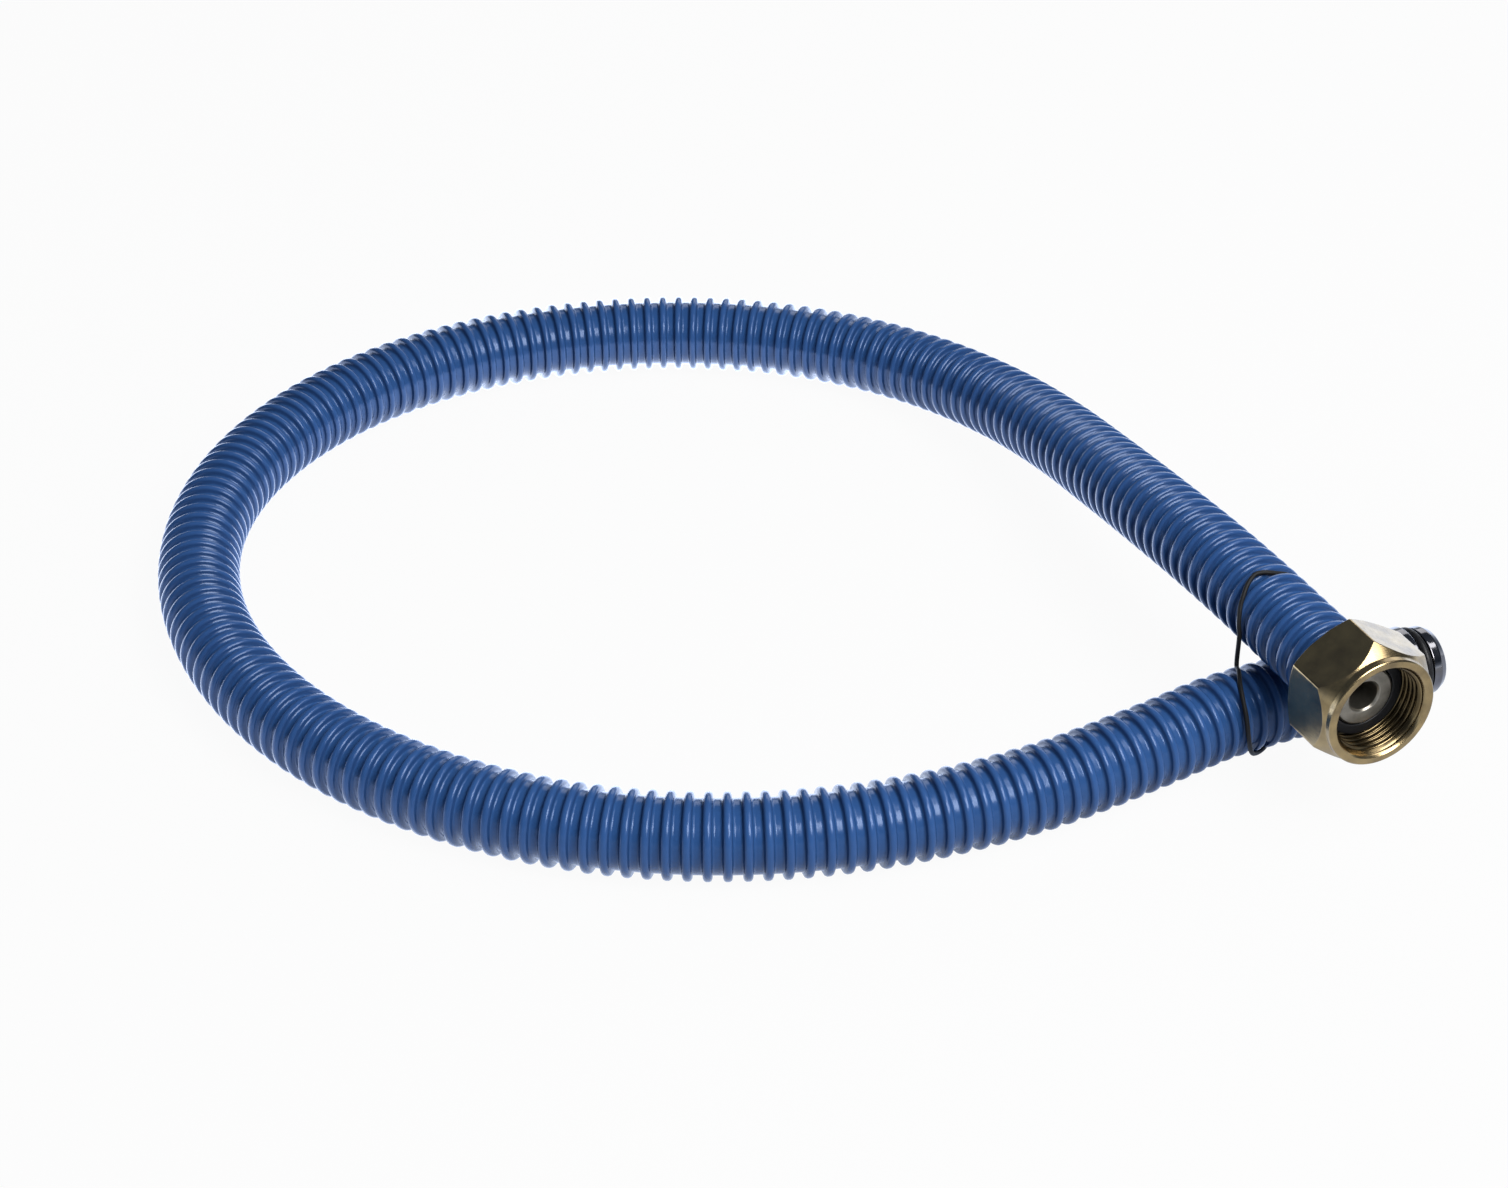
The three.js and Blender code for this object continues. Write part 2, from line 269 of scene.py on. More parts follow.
def fill(tree, node, in_order=(), **inputs):
    """Fills a node's sockets, each with a value or another node's output. Inputs are named after
    the sockets, with spaces as underscores. Sockets that share one name are filled in order."""
    named = [(node.inputs[name.replace("_", " ")], value) for name, value in inputs.items()]
    for socket, value in [*zip(node.inputs, in_order), *named]:
        if isinstance(value, bpy.types.NodeSocket):
            tree.links.new(value, socket)
        else:
            socket.default_value = value


def add_node(tree, kind, settings=(), in_order=(), stops=(), **inputs):
    """Adds a node, sets its properties and fills its sockets. Stops are those of a colour ramp,
    each a position and a colour."""
    node = tree.nodes.new(kind)
    for name, value in dict(settings).items():
        setattr(node, name, value)
    if stops:
        elements = node.color_ramp.elements
        while len(elements) < len(stops):
            elements.new(0.5)
        for element, (position, colour) in zip(elements, stops):
            element.position = position
            element.color = colour
    fill(tree, node, in_order, **inputs)
    return node


# %% What the finishes share
def new_finish(name, **surface):
    """A material whose shader has the given plain values, with its node tree and shader."""
    finish = bpy.data.materials.new(name)
    finish.use_nodes = True
    tree = finish.node_tree
    shader = tree.nodes["Principled BSDF"]
    fill(tree, shader, **surface)
    print("finish:", name)
    return finish, tree, shader


def mottle(tree, grain, detail=3.0):
    """Noise from 0 to 1 whose grains are about the given size, in the piece's coordinates."""
    place = add_node(tree, "ShaderNodeTexCoord").outputs["Object"]
    noise = add_node(tree, "ShaderNodeTexNoise", Vector=place, Scale=1 / grain, Detail=detail)
    return noise.outputs["Fac"]


def grained(tree, shader, grain, smoothest, roughest, depth, strength):
    """A grain in both the gloss and the surface. As it goes from 0 to 1, the roughness goes from
    the smoothest value to the roughest, and the surface seems to rise by the depth."""
    gloss = add_node(
        tree, "ShaderNodeMapRange", Value=grain, To_Min=smoothest, To_Max=roughest
    )
    bump = add_node(tree, "ShaderNodeBump", Height=grain, Distance=depth, Strength=strength)
    fill(tree, shader, Roughness=gloss.outputs["Result"], Normal=bump.outputs["Normal"])


# %% [markdown]
# ## The sleeve's plastic
#
# The sleeve is polypropylene, dyed blue in the mass and blown against a corrugated mould. That
# gives a satin gloss, with narrow pale lines on the crests. Its colour also carries painted shade
# and light: the ribs' walls are painted darkest as shade, the valleys a little lighter and the
# crests lightest as painted light. The height of each point between valley and crest is kept on
# the mesh as an attribute, so this painted shade and light can follow the ribs exactly.

# %% Blue polypropylene
def blue_polypropylene():
    """Moulded polypropylene: the colour follows the ribs' height, with painted shade on the walls
    and painted light on the crests, and clouds over 9 mm. A grain of 0.8 mm, as coarse as it
    needs to show, makes the gloss slightly uneven."""
    finish, tree, shader = new_finish(
        "moulded_blue_polypropylene",
        Roughness=0.2, IOR=1.43, Specular_Tint=linear("#c9daf8"),
    )
    height = add_node(tree, "ShaderNodeAttribute", {"attribute_name": "rib_height"})
    # The walls' darker blue is painted shade and the crests' lighter blue is painted light; the
    # valleys keep the plain blue.
    valley_blue, painted_shade_wall_blue, painted_light_crest_blue = linear("#284a7b"), linear("#233f6b"), linear("#2d4f82")
    by_height = add_node(
        tree, "ShaderNodeValToRGB", Fac=height.outputs["Fac"],
        stops=[(0.0, valley_blue), (0.12, painted_shade_wall_blue), (0.6, painted_shade_wall_blue), (1.0, painted_light_crest_blue)],
    )
    shade = add_node(
        tree, "ShaderNodeMapRange", Value=mottle(tree, 9 * mm), To_Min=0.86, To_Max=1.12
    )
    tinted = add_node(
        tree, "ShaderNodeVectorMath", {"operation": "SCALE"},
        Vector=by_height.outputs["Color"], Scale=shade.outputs["Result"],
    )
    fill(tree, shader, Base_Color=tinted.outputs["Vector"])
    grain = mottle(tree, 0.8 * mm, detail=2.0)
    grained(tree, shader, grain, 0.14, 0.28, 0.03 * mm, 0.5)
    return finish


sleeve_plastic = blue_polypropylene()

# %% [markdown]
# ## The ribbed sleeve
#
# The ribs are rings, not a screw thread: each one closes on itself. A rib is a rounded crest with
# steep sides on a smaller tube. Seen from the side, the crest is a superellipse, which is rounder
# than a box and squarer than a circle, and the valley between two crests is flat. The profile
# repeats along the route, once for each 5.1 mm.

# %% One rib, repeated along the route
rib_pitch = 5.1 * mm
crest_radius = 11.85 * mm
valley_radius = 10.1 * mm
sleeve_bore = 8.6 * mm
crest_half_width = 0.25             # as a share of the pitch
valley_edge = 0.1                   # where a wall starts, as a share of the pitch
crest_squareness = 2.7              # 2 is a circle, more is squarer
crest_points = 8
bore_rings = 96
sleeve_columns = 48

rib_count = round(route_length / rib_pitch)
sweep = np.pi * np.arange(crest_points) / (crest_points - 1)
crest_x = np.sign(np.cos(sweep)) * np.abs(np.cos(sweep)) ** (2 / crest_squareness)
crest_height = np.abs(np.sin(sweep)) ** (2 / crest_squareness)
crest_height = crest_height / crest_height.max()
rib_x = np.concatenate([[valley_edge], 0.5 - crest_half_width * crest_x, [1 - valley_edge]])
rib_height = np.concatenate([[0], crest_height, [0]])

ribs_along = (np.arange(rib_count)[:, None] + rib_x[None]).ravel() * route_length / rib_count
bore_along = np.linspace(route_length, 0, bore_rings)
sleeve_along = np.concatenate([[0], ribs_along, [route_length], bore_along])
sleeve_height = np.concatenate([[0], np.tile(rib_height, rib_count), [0], 0 * bore_along])
sleeve_radius = valley_radius + (crest_radius - valley_radius) * sleeve_height
sleeve_radius[-bore_rings:] = sleeve_bore

sleeve = closed_skin(
    "ribbed_sleeve_skin", tube_grid(route, sleeve_along, sleeve_radius, sleeve_columns),
    sleeve_plastic, "hose", "ribbed_sleeve",
)
heights = sleeve.data.attributes.new("rib_height", "FLOAT", "POINT")
heights.data.foreach_set("value", np.repeat(sleeve_height, sleeve_columns).astype(np.float32))
print(f"{rib_count} ribs, {1000 * route_length / rib_count:.2f} mm apart")

# %% [markdown]
# ## Turned metal
#
# The tail, the spigot and the seals were turned on a lathe, so each is a profile of radius and
# distance carried round its axis. A real edge is never perfectly sharp: a small round catches the
# light. Each corner of a profile therefore becomes a short arc, with one extra point on each side
# that keeps the flat beside it flat in the shading.

# %% Profiles with softened corners
def softened(profile, edge, closed=True):
    """Rounds a polyline's corners. Every corner becomes the middle of a parabola between two
    points that lie the edge size before and after it, held by two more points further out.
    On a short side they move closer to the corner, and never past each other. The profile is
    corners by angles by (radius, distance), so a hexagon's may change round the axis. Where it
    isn't closed, its two ends stay single sharp corners."""
    bend, hold = edge, 1.8 * edge
    bend_limit, hold_limit = 0.3, 0.45      # as shares of a side
    profile = np.asarray(profile, float)
    if profile.ndim == 2:
        profile = profile[:, None]
    before = np.roll(profile, 1, axis=0) - profile
    after = np.roll(profile, -1, axis=0) - profile

    def away(side, reach, limit):
        """A point on a side: the corner plus the side's direction times the reach or the limit,
        whichever is less."""
        length = np.linalg.norm(side, axis=-1, keepdims=True)
        return profile + side / length * np.minimum(reach, limit * length)

    start, end = away(before, bend, bend_limit), away(after, bend, bend_limit)
    middle = (start + 2 * profile + end) / 4
    hold_start, hold_end = away(before, hold, hold_limit), away(after, hold, hold_limit)
    arcs = np.stack([hold_start, start, middle, end, hold_end], axis=1)
    shape = (-1, *profile.shape[1:])
    if closed:
        return arcs.reshape(shape)
    return np.concatenate([profile[:1], arcs[1:-1].reshape(shape), profile[-1:]])


def turned_grid(profile, axis, angles):
    """Carries a profile round an axis, which is its starting point and its direction. A point is
    the start plus its distance along the axis plus its radius times a direction across it."""
    start, inward = np.asarray(axis, float)
    upright = np.array([0.0, 0.0, 1.0])
    level = np.cross(inward, upright)
    across = np.cos(angles)[:, None] * upright - np.sin(angles)[:, None] * level
    radius, along = profile[..., 0:1], profile[..., 1:2]
    return start + along * inward + radius * across[None]


# %% [markdown]
# ## Where the fittings sit
#
# Each fitting has its own axis. The inlet's starts at the middle of the union nut's mouth and runs
# along +Y into the hose. The outlet's starts at the spigot's tip and runs along -X into the hose.
# Distances in the profiles below are counted from there, in millimetres.

# %% Axes and shared sizes
inlet_hose_end = 20.0 * mm          # from the nut's mouth to the sleeve's end
outlet_hose_end = 17.4 * mm         # from the spigot's tip to the sleeve's end
inlet_mouth = (inlet_axis_x, inlet_end_y - inlet_hose_end, hose_radius + crossing_lift)
outlet_tip = (outlet_end_x + outlet_hose_end, outlet_axis_y, hose_radius + band_lift)
inlet_axis = (inlet_mouth, (0, 1, 0))
outlet_axis = (outlet_tip, (-1, 0, 0))
round_columns = 112
round_angles = np.linspace(0, 2 * np.pi, round_columns, endpoint=False)
print("nut's mouth at", np.round(inlet_mouth, 4), "and spigot's tip at", np.round(outlet_tip, 4))

water_bore = 4.2
shank_radius = 8.3
shank_inside = 4                    # how far the shank runs into the sleeve
barb_root, barb_crest, barb_pitch, barb_count = 4.9, 5.3, 5.2, 4
barb_shares = np.array([0.35, 0.5, 1.0])    # where a barb starts, peaks and ends, in pitches


def stem_profile(start):
    """The barbs inside the liner, one pitch apart: each rises from the root to the crest and
    falls back to the root, at the given shares of its pitch."""
    along = np.arange(barb_count)[:, None] * barb_pitch + start + barb_pitch * barb_shares
    radius = np.broadcast_to([barb_root, barb_crest, barb_root], along.shape)
    return [tuple(point) for point in np.stack([radius, along], axis=-1).reshape(-1, 2)]


def turned_piece(name, axis, profile, edge, finish, node):
    """A turned piece of the hose, from a profile in millimetres with its corners rounded."""
    grid = turned_grid(softened(profile, edge) * mm, axis, round_angles)
    return closed_skin(name, grid, finish, "hose", node)


# %% [markdown]
# ## The union nut's brass
#
# The nut is brass, pressed hot and then turned and threaded. It has a warm brown tone from a thin
# oxide, and bare gold where the tool cut last. Its bore is painted darker, as shade in the recess.
# Fine rings from turning run round its axis. They are far finer than a pixel, so they are drawn
# 0.35 mm apart to show at all.

# %% Turned brass
def distance_from_axis(tree, across, centre):
    """How far a point lies from an axis that runs along the one coordinate left out. The two
    offsets across the axis are squared, summed and rooted."""
    place = add_node(tree, "ShaderNodeTexCoord").outputs["Object"]
    parts = add_node(tree, "ShaderNodeSeparateXYZ", Vector=place).outputs
    first, second = (
        add_node(tree, "ShaderNodeMath", {"operation": "SUBTRACT"}, (parts[axis], value))
        for axis, value in zip(across, centre)
    )
    pair = add_node(
        tree, "ShaderNodeCombineXYZ", X=first.outputs["Value"], Y=second.outputs["Value"]
    )
    length = add_node(
        tree, "ShaderNodeVectorMath", {"operation": "LENGTH"}, Vector=pair.outputs["Vector"]
    )
    return length.outputs["Value"]


def turned_rings(tree, distance, spacing):
    """The sine of the distance in turns, where one turn is the spacing."""
    angle = add_node(
        tree, "ShaderNodeMath", {"operation": "MULTIPLY"}, (distance, 2 * math.pi / spacing)
    )
    wave = add_node(tree, "ShaderNodeMath", {"operation": "SINE"}, (angle.outputs["Value"],))
    return wave.outputs["Value"]


def turned_brass():
    """Brass turned bright and lightly tarnished: clouds of brown and gold over 6 mm, a tone that
    falls to 0.3 inside the bore as painted shade, a soft uneven gloss and fine turned rings."""
    finish, tree, shader = new_finish("turned_brass", Metallic=1.0, Roughness=0.24)
    distance = distance_from_axis(tree, ("X", "Z"), (inlet_mouth[0], inlet_mouth[2]))
    clouds = add_node(
        tree, "ShaderNodeValToRGB", Fac=mottle(tree, 6 * mm, detail=4.0),
        stops=[(0.3, linear("#8c7b5e")), (0.55, linear("#aa956d")), (0.8, linear("#bca476"))],
    )
    # Inside the bore the colour is scaled down to 0.3: painted shade in the recess.
    painted_bore_shade = add_node(
        tree, "ShaderNodeMapRange", {"interpolation_type": "SMOOTHSTEP"}, Value=distance,
        From_Min=12.6 * mm, From_Max=13.7 * mm, To_Min=0.3, To_Max=1.0,
    )
    with_bore_shade = add_node(
        tree, "ShaderNodeVectorMath", {"operation": "SCALE"},
        Vector=clouds.outputs["Color"], Scale=painted_bore_shade.outputs["Result"],
    )
    gloss = add_node(
        tree, "ShaderNodeMapRange", Value=mottle(tree, 1.2 * mm), To_Min=0.17, To_Max=0.3
    )
    bump = add_node(
        tree, "ShaderNodeBump", Height=turned_rings(tree, distance, 0.35 * mm),
        Distance=0.003 * mm, Strength=0.6,
    )
    fill(
        tree, shader, Base_Color=with_bore_shade.outputs["Vector"],
        Roughness=gloss.outputs["Result"], Normal=bump.outputs["Normal"],
    )
    return finish


nut_brass = turned_brass()

# %% [markdown]
# ## The union nut's form
#
# The nut starts as a hexagon bar. In the section across the bar, the distance to the surface is the
# flat's distance divided by a soft maximum of the cosines to the six flats, so the corners come
# out slightly rounded. Turning then cuts two cones off the corners, which leaves the curved ends
# of the flats. At each angle the profile is the same list of corners, and only the places where
# the cones meet the hexagon change.

# %% The hexagon, turned and chamfered
flat_distance = 16.5
corner_turn = math.radians(2)       # how far a corner stands past the top, towards -X
corner_power = 170                  # the higher, the sharper the corner
rim_radius, rim_length, rim_bevel = 16.0, 2.2, 0.4
mouth_radius, mouth_depth, mouth_bevel = 13.8, 2.6, 0.2
front_chamfer_length = 4.2
back_radius, back_chamfer_length = 16.8, 1.4
back_bevel = 0.02                   # keeps the back's two corners apart on the flats
minor_radius, major_radius = 12.15, 13.22
nut_shoulder, nut_length = 14.2, 19.5
nut_hole = 8.7
nut_edge = 0.16
columns_a_side = 20
crowding = 1.7                      # above 1, the columns crowd towards the corners

sector = np.linspace(-1, 1, columns_a_side + 1)[:-1]
crowded = np.sign(sector) * (1 - (1 - np.abs(sector)) ** crowding)
nut_angles = (
    np.radians(30) * (1 + crowded[None] + 2 * np.arange(6)[:, None]) + corner_turn
).ravel()
flats = np.radians(30 + 60 * np.arange(6)) + corner_turn
towards = np.maximum(np.cos(nut_angles[:, None] - flats[None]), 0)
hexagon = flat_distance / np.sum(towards ** corner_power, axis=1) ** (1 / corner_power)
corner_radius = hexagon.max()
front_slope = front_chamfer_length / (corner_radius - rim_radius)
front_cone = rim_length + (hexagon - rim_radius) * front_slope
back_reach = np.maximum(hexagon - back_radius, 0) / (corner_radius - back_radius)
back_cone = nut_length - back_reach * back_chamfer_length - back_bevel
back_edge = np.minimum(hexagon, back_radius) - back_bevel

whole_turn = np.ones_like(nut_angles)
outline = np.stack([
    np.stack([radius * whole_turn, place * whole_turn], axis=-1)
    for radius, place in (
        (mouth_radius, mouth_bevel),
        (mouth_radius + mouth_bevel, 0),
        (rim_radius - rim_bevel, 0),
        (rim_radius, rim_bevel),
        (rim_radius, rim_length),
        (hexagon, front_cone),
        (hexagon, back_cone),
        (back_edge, nut_length),
        (nut_hole, nut_length),
        (nut_hole, nut_shoulder),
        (minor_radius, nut_shoulder),
    )
])
print(f"nut {2 * flat_distance} mm across flats, {2 * corner_radius:.1f} mm across corners")

# %% [markdown]
# ## The thread
#
# The G 3/4 thread is a groove that moves in by one pitch for each turn. Its depth depends on one
# number, the phase: the distance in pitches less the angle in turns. A triangle wave of the phase,
# flattened at both ends, gives the rounded pipe-thread form. At the mouth a cone cuts the thread
# away, and before the shoulder the groove fades out.

# %% The threaded bore
thread_pitch = 1.814
thread_flat = 0.16                  # the share of the wave that is flat at each end
fade_end, fade_length = 1.2, 1.0    # the groove is gone this far before the shoulder
bore_back, bore_front = nut_shoulder - 0.3, 0.4
bore_row_count = 84

bore_places = np.linspace(bore_back, bore_front, bore_row_count)[:, None]
phase = bore_places / thread_pitch - nut_angles[None] / (2 * np.pi)
wave = np.abs(2 * (phase - np.floor(phase)) - 1)
depth = np.clip((wave - thread_flat) / (1 - 2 * thread_flat), 0, 1)
depth = depth * depth * (3 - 2 * depth)
fade = np.clip((nut_shoulder - fade_end - bore_places) / fade_length, 0, 1)
threaded = minor_radius + (major_radius - minor_radius) * depth * fade
mouth_cone = mouth_radius - (mouth_radius - minor_radius) * bore_places / mouth_depth
bore = np.maximum(threaded, mouth_cone)
bore_rows = np.stack([bore, np.broadcast_to(bore_places, bore.shape)], axis=-1)

nut_profile = np.concatenate([softened(outline, nut_edge, closed=False), bore_rows])
nut_grid = turned_grid(nut_profile * mm, inlet_axis, nut_angles)
closed_skin("union_nut_skin", nut_grid, nut_brass, "union_nut", "union_nut")

# %% [markdown]
# ## The tail in the nut
#
# The nut pulls on a turned tail. Only its nose shows: a flat ring of dull nickel plate round the
# water bore, with a black washer behind it. The shank and its barbs run on into the liner.
# Plate dulls unevenly and moulded rubber copies its mould, so both get a fine grain in the gloss.

# %% Dull nickel plate and black rubber
def dull_nickel():
    """Dull nickel plate: grey clouds over 3 mm and a pitted, uneven gloss over 0.5 mm."""
    finish, tree, shader = new_finish("dull_nickel_plate", Metallic=0.9, Roughness=0.5)
    clouds = add_node(
        tree, "ShaderNodeValToRGB", Fac=mottle(tree, 3 * mm, detail=5.0),
        stops=[(0.25, linear("#7a766d")), (0.75, linear("#9b968b"))],
    )
    fill(tree, shader, Base_Color=clouds.outputs["Color"])
    grained(tree, shader, mottle(tree, 0.5 * mm), 0.28, 0.42, 0.02 * mm, 0.5)
    return finish


def black_rubber(name, tone, roughness):
    """Moulded rubber: near black, with a grain of 0.4 mm in its tone, gloss and surface. The
    roughness runs 0.08 to each side of the one given."""
    finish, tree, shader = new_finish(name, Roughness=roughness, IOR=1.35)
    grain = mottle(tree, 0.4 * mm)
    blacks = add_node(
        tree, "ShaderNodeValToRGB", Fac=grain,
        stops=[(0.3, linear(tone)), (0.9, linear("#1e1e20"))],
    )
    fill(tree, shader, Base_Color=blacks.outputs["Color"])
    grained(tree, shader, grain, roughness - 0.08, roughness + 0.08, 0.02 * mm, 0.4)
    return finish


nickel = dull_nickel()
nitrile = black_rubber("black_nitrile_rubber", "#121213", 0.42)

# %% The tail and its washer
nose_front, nose_radius, nose_bevel = 8.5, 8.6, 0.4
collar_front, collar_back, collar_radius = 11.1, 13.9, 11.75
bore_bevel = 0.6
seal_front, seal_back, seal_bore = 8.8, 10.8, 8.9
shank_end = inlet_hose_end / mm + shank_inside
turned_piece(
    "inlet_tail_skin", inlet_axis,
    [
        (water_bore + bore_bevel, nose_front),
        (nose_radius - nose_bevel, nose_front),
        (nose_radius, nose_front + nose_bevel),
        (nose_radius, collar_front),
        (collar_radius, collar_front),
        (collar_radius, collar_back),
        (shank_radius, collar_back),
        (shank_radius, shank_end),
        (barb_root, shank_end),
        *stem_profile(shank_end),
        (water_bore, shank_end + barb_count * barb_pitch),
        (water_bore, nose_front + bore_bevel),
    ],
    0.15, nickel, "inlet_tail",
)
turned_piece(
    "seal_washer_skin", inlet_axis,
    [
        (seal_bore, seal_front),
        (collar_radius, seal_front),
        (collar_radius, seal_back),
        (seal_bore, seal_back),
    ],
    0.3, nitrile, "seal_washer",
)

# %% [markdown]
# ## The spigot
#
# The outlet spigot is turned brass with a polished chrome plate: a tapered tip, a groove that
# holds the O-ring, and a collar. Chrome on a polished base is a mirror, so its form shows only
# through what it reflects, and its rounded edges matter more than its colour.

# %% Polished chrome
def polished_chrome():
    """Chrome plate on a polished base: a cool grey mirror with faint clouds over 4 mm and a gloss
    that changes a little over 0.6 mm, as handling leaves it."""
    finish, tree, shader = new_finish("polished_chrome_plate", Metallic=1.0, Roughness=0.1)
    clouds = add_node(
        tree, "ShaderNodeValToRGB", Fac=mottle(tree, 4 * mm),
        stops=[(0.2, linear("#67666a")), (0.8, linear("#7d7c7f"))],
    )
    gloss = add_node(
        tree, "ShaderNodeMapRange", Value=mottle(tree, 0.6 * mm), To_Min=0.07, To_Max=0.16
    )
    fill(tree, shader, Base_Color=clouds.outputs["Color"], Roughness=gloss.outputs["Result"])
    return finish


chrome = polished_chrome()

# %% The spigot and its O-ring
tip_radius, tip_length, tip_bore, tip_bore_depth = 8.6, 2.0, 6.0, 1.8
spigot_radius, spigot_collar_radius = 9.7, 11.0
groove_front, groove_back, groove_radius = 4.4, 7.4, 7.5
spigot_collar_front, spigot_collar_back = 8.3, 16.9
spigot_shank_end = outlet_hose_end / mm + shank_inside
spigot = turned_piece(
    "outlet_spigot_skin", outlet_axis,
    [
        (tip_bore, 0),
        (tip_radius, 0),
        (spigot_radius, tip_length),
        (spigot_radius, groove_front),
        (groove_radius, groove_front),
        (groove_radius, groove_back),
        (spigot_radius, groove_back),
        (spigot_radius, spigot_collar_front),
        (spigot_collar_radius, spigot_collar_front),
        (spigot_collar_radius, spigot_collar_back),
        (shank_radius, spigot_collar_back),
        (shank_radius, spigot_shank_end),
        (barb_root, spigot_shank_end),
        *stem_profile(spigot_shank_end),
        (water_bore, spigot_shank_end + barb_count * barb_pitch),
        (water_bore, tip_bore_depth),
    ],
    0.22, chrome, "outlet_spigot",
)

o_ring_radius, o_ring_section, o_ring_points = 9.0, 1.2, 20
o_ring_turn = np.linspace(0, 2 * np.pi, o_ring_points, endpoint=False)
o_ring_profile = np.stack([
    o_ring_radius + o_ring_section * np.cos(o_ring_turn),
    (groove_front + groove_back) / 2 + o_ring_section * np.sin(o_ring_turn),
], axis=-1)[:, None]
o_ring = closed_skin(
    "outlet_o_ring_skin", turned_grid(o_ring_profile * mm, outlet_axis, round_angles),
    nitrile, "hose", "outlet_o_ring",
)

# %% [markdown]
# ## Liner and ferrules
#
# The liner and the two ferrules that clamp it are shut in under the sleeve. The liner is made as a
# smooth tube on the same route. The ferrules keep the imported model's own form, which already has
# its three crimps, and get a rolled steel finish.

# %% The liner and the ferrules
liner_gap = 4.3 * mm                # from the sleeve's end to the liner's
liner_radius, liner_bore = 7.5 * mm, 5.6 * mm
liner_rings, liner_columns = 150, 28
liner_out = np.linspace(liner_gap, route_length - liner_gap, liner_rings)
liner_along = np.concatenate([liner_out, liner_out[::-1]])
liner_radii = np.repeat([liner_radius, liner_bore], liner_rings)
liner = closed_skin(
    "inner_liner_skin", tube_grid(route, liner_along, liner_radii, liner_columns),
    black_rubber("black_epdm_rubber", "#18181a", 0.7), "hose", "inner_liner",
)


def rolled_steel():
    """Thin rolled steel: a pale satin grey with faint clouds over 2 mm."""
    finish, tree, shader = new_finish("rolled_steel", Metallic=1.0, Roughness=0.35)
    clouds = add_node(
        tree, "ShaderNodeValToRGB", Fac=mottle(tree, 2 * mm),
        stops=[(0.2, linear("#a2a4a6")), (0.8, linear("#bcbec0"))],
    )
    fill(tree, shader, Base_Color=clouds.outputs["Color"])
    return finish


steel = rolled_steel()
for name in ("inlet_ferrule", "outlet_ferrule"):
    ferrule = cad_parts[name]
    ferrule.data.materials.clear()
    ferrule.data.materials.append(steel)
    print(f"{name}: {steel.name}")

# %% [markdown]
# ## The band round the crossing
#
# A thin elastic band goes once round both ends where they cross. It touches each end in turn, so
# its route is a list of places on them: which end, how far along it, the angle round it and how
# far the band has climbed from a valley to the crests. Over the inlet's top it lies in a valley.
# It climbs out of it little by little, because a stretched band leaves a curve along a tangent.

# %% The elastic band
band_reach = 14.023 * mm
band_radius = 0.65 * mm
band_columns, band_samples = 12, 12
in_valley = valley_radius + 0.6 * band_radius
on_crests = crest_radius + band_radius
band_places = [
    ("inlet", 0.69, 66, 0), ("inlet", 0.69, 80, 0.1), ("inlet", 0.71, 92, 0.35),
    ("inlet", 0.75, 103, 0.7), ("inlet", 0.76, 113, 1), ("inlet", 0.72, 123, 1),
    ("inlet", 0.65, 133, 1), ("inlet", 0.57, 143, 1), ("inlet", 0.5, 154, 1),
    ("inlet", 0.42, 166, 1), ("inlet", 0.37, 179, 1), ("inlet", 0.35, 192, 1),
    ("outlet", -0.86, 66, 1), ("outlet", -1.0, 86, 1), ("outlet", -1.16, 106, 1),
    ("outlet", -1.26, 127, 1), ("outlet", -1.3, 150, 1), ("outlet", -1.28, 178, 1),
    ("outlet", -1.12, 208, 1), ("outlet", -0.85, 232, 1), ("outlet", -0.5, 250, 1),
    ("outlet", -0.15, 272, 1), ("outlet", 0.15, 298, 1), ("outlet", 0.35, 326, 1),
    ("outlet", 0.5, 352, 1),
    ("inlet", 0.9, -30, 1), ("inlet", 0.74, -8, 0), ("inlet", 0.69, 18, 0),
    ("inlet", 0.69, 44, 0),
]


def on_the_ends(end, share, degrees, climb):
    """A place on the band: the end's own axis at a share of the band's reach from the crossing,
    plus cosine and sine of the angle times a distance, which the climb blends from that of a
    valley to that of the crests."""
    along = share * band_reach
    reach = in_valley + climb * (on_crests - in_valley)
    across = reach * math.cos(math.radians(degrees))
    up = hose_radius + reach * math.sin(math.radians(degrees))
    if end == "inlet":
        return (inlet_axis_x + across, outlet_axis_y + along, up + crossing_lift)
    return (inlet_axis_x + along, outlet_axis_y + across, up + band_lift)


band_line = smooth_curve(
    [on_the_ends(*place) for place in band_places], closed=True, samples=band_samples
)[:-1]
band_ahead = unit(np.roll(band_line, -1, axis=0) - np.roll(band_line, 1, axis=0))
outward = band_line - band_line.mean(axis=0)
outward = unit(outward - np.sum(outward * band_ahead, axis=1, keepdims=True) * band_ahead)
sideways = np.cross(band_ahead, outward)
band_turn = np.linspace(0, 2 * np.pi, band_columns, endpoint=False)[None, :, None]
band_grid = band_line[:, None] + band_radius * (
    np.cos(band_turn) * outward[:, None] + np.sin(band_turn) * sideways[:, None]
)
elastic = black_rubber("black_elastic", "#0a0a0b", 0.6)
closed_skin("loop_band_skin", band_grid, elastic, "hose", "loop_band")

# %% [markdown]
# ## The hose's length and thickness
#
# The hose is 24 mm thick and stiff enough to lie in one wide loop. Its path is the centre of its
# rings, from the union nut round to the spigot. This cell prints its length and thickness.

# %% The hose as a hose
print(f"hose declared: {route_length:.3f} m long, {2000 * hose_radius:.0f} mm thick")

# %% [markdown]
# ## Table, background and light
#
# The table is a wide pale floor. What the camera sees of it is lifted towards white with Light
# Path, so the background is white while the object is lit no more than a plain level, and a soft
# shadow stays. In reflections the floor glows too, brighter and cooler towards the back and most
# inside the loop. With a bright horizon, that draws the pale lines on the ribs' inner edges and
# the pale flat on the nut. The lamps are a studio's: the main soft box is in front, above the
# camera and a little to its right, a second is high on the right, and a weak one lights the back.

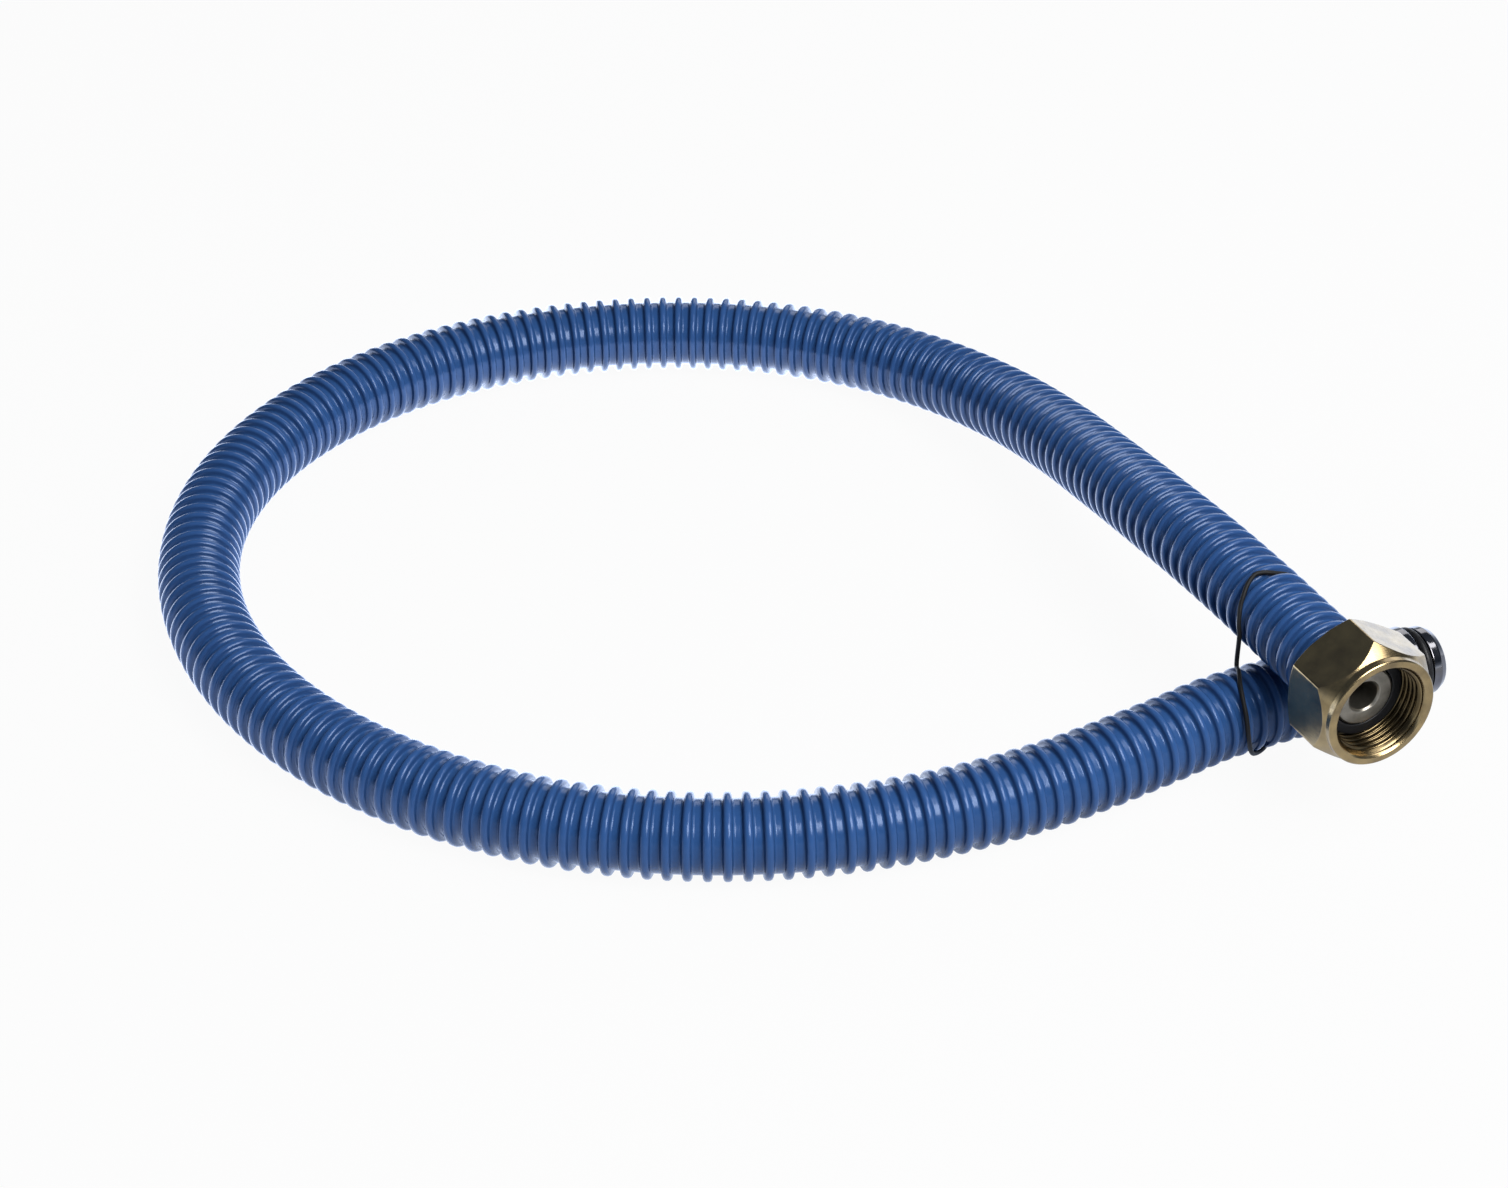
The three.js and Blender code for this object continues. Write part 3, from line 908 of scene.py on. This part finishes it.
# %% The floor
def pale_floor():
    """A matt pale table that also glows. The glow's share is 0.95 for the camera, and for
    reflections it rises from 0.08 in front to 0.8 at the back. Its strength is 1, plus that
    share times a glare that falls from 5.2 inside the loop to 2.2 on its right."""
    finish, tree, shader = new_finish("pale_table", Roughness=0.6, Base_Color=linear("#b4b4b4"))
    ray = add_node(tree, "ShaderNodeLightPath").outputs
    place = add_node(tree, "ShaderNodeTexCoord").outputs["Object"]
    sides = add_node(tree, "ShaderNodeSeparateXYZ", Vector=place).outputs
    smooth = {"interpolation_type": "SMOOTHSTEP"}
    to_the_back = add_node(
        tree, "ShaderNodeMapRange", smooth,
        Value=sides["Y"], From_Min=-0.25, From_Max=0.03, To_Min=0.08, To_Max=0.8,
    )
    to_the_right = add_node(
        tree, "ShaderNodeMapRange", smooth,
        Value=sides["X"], From_Min=0.09, From_Max=0.2, To_Min=5.2, To_Max=2.2,
    )
    mirrored = add_node(
        tree, "ShaderNodeMath", {"operation": "MULTIPLY"},
        (ray["Is Glossy Ray"], to_the_back.outputs["Result"]),
    ).outputs["Value"]
    glare = add_node(
        tree, "ShaderNodeMath", {"operation": "MULTIPLY_ADD"},
        (mirrored, to_the_right.outputs["Result"], 1.0),
    )
    share = add_node(
        tree, "ShaderNodeMath", {"operation": "MULTIPLY_ADD"},
        (ray["Is Camera Ray"], 0.95, mirrored),
    )
    white_or_cool = add_node(
        tree, "ShaderNodeValToRGB", Fac=ray["Is Glossy Ray"],
        stops=[(0.0, linear("#ffffff")), (1.0, linear("#d6e4ff"))],
    )
    glow = add_node(
        tree, "ShaderNodeEmission",
        Color=white_or_cool.outputs["Color"], Strength=glare.outputs["Value"],
    )
    surface = add_node(
        tree, "ShaderNodeMixShader",
        in_order=(share.outputs["Value"], shader.outputs["BSDF"], glow.outputs["Emission"]),
    )
    fill(tree, tree.nodes["Material Output"], Surface=surface.outputs["Shader"])
    return finish


half_floor = 3.0
floor_height = -0.05 * mm           # just under the hose, which stands on zero
floor_mesh = bpy.data.meshes.new("table")
floor_mesh.from_pydata(
    [
        (x * half_floor, y * half_floor, floor_height)
        for x, y in ((-1, -1), (1, -1), (1, 1), (-1, 1))
    ],
    [],
    [(0, 1, 2, 3)],
)
floor_mesh.materials.append(pale_floor())
floor = bpy.data.objects.new("table", floor_mesh)
bpy.context.scene.collection.objects.link(floor)
print(f"table: {2 * half_floor:g} m square")

# %% The world: white to the camera, a bright horizon and a dim top to everything else
world = bpy.data.worlds.new("studio")
bpy.context.scene.world = world
world.use_nodes = True
sky = world.node_tree
sky.nodes.clear()
direction = add_node(sky, "ShaderNodeTexCoord").outputs["Generated"]
upward = add_node(sky, "ShaderNodeSeparateXYZ", Vector=direction).outputs["Z"]
horizon = add_node(
    sky, "ShaderNodeValToRGB", Fac=upward,
    stops=[
        (0.0, linear("#e4eaf2")),
        (0.06, linear("#b4bcc8")),
        (0.14, linear("#6c7480")),
        (0.3, linear("#2e343e")),
        (0.9, linear("#484e58")),
    ],
)
dome = add_node(
    sky, "ShaderNodeBackground", Color=horizon.outputs["Color"], Strength=1.8
)
white = add_node(sky, "ShaderNodeBackground", Color=linear("#ffffff"), Strength=1.0)
to_camera = add_node(sky, "ShaderNodeLightPath").outputs["Is Camera Ray"]
backdrop = add_node(
    sky, "ShaderNodeMixShader",
    in_order=(to_camera, dome.outputs["Background"], white.outputs["Background"]),
)
add_node(sky, "ShaderNodeOutputWorld", Surface=backdrop.outputs["Shader"])
print("world:", world.name)


# %% The soft boxes
def soft_box(name, towards, distance, width, height, radiance):
    """A rectangular lamp that faces the loop's middle. Its power is pi times its area times its
    radiance, so its brightness in a reflection is what is asked for."""
    light = bpy.data.lights.new(name, "AREA")
    light.shape = "RECTANGLE"
    light.size = width
    light.size_y = height
    light.energy = math.pi * width * height * radiance
    lamp = bpy.data.objects.new(name, light)
    way = Vector(towards).normalized()
    lamp.location = way * distance
    lamp.rotation_euler = way.to_track_quat("Z", "Y").to_euler()
    lamp.visible_camera = False
    bpy.context.scene.collection.objects.link(lamp)
    print(f"{name}: {light.energy:.1f} W")


soft_box("key_box", (0.145, -0.673, 0.726), 1.6, 0.8, 0.8, 13.5)
soft_box("side_box", (0.42, -0.27, 0.87), 1.7, 0.7, 0.7, 4.5)
soft_box("fill_box", (0.6, 0.7, 0.45), 1.9, 1.3, 0.8, 1.8)

# %% [markdown]
# ## Finish
#
# The picture is shown with the plain view transform, so a colour looks as it was written.

bpy.context.scene.view_settings.view_transform = "Standard"
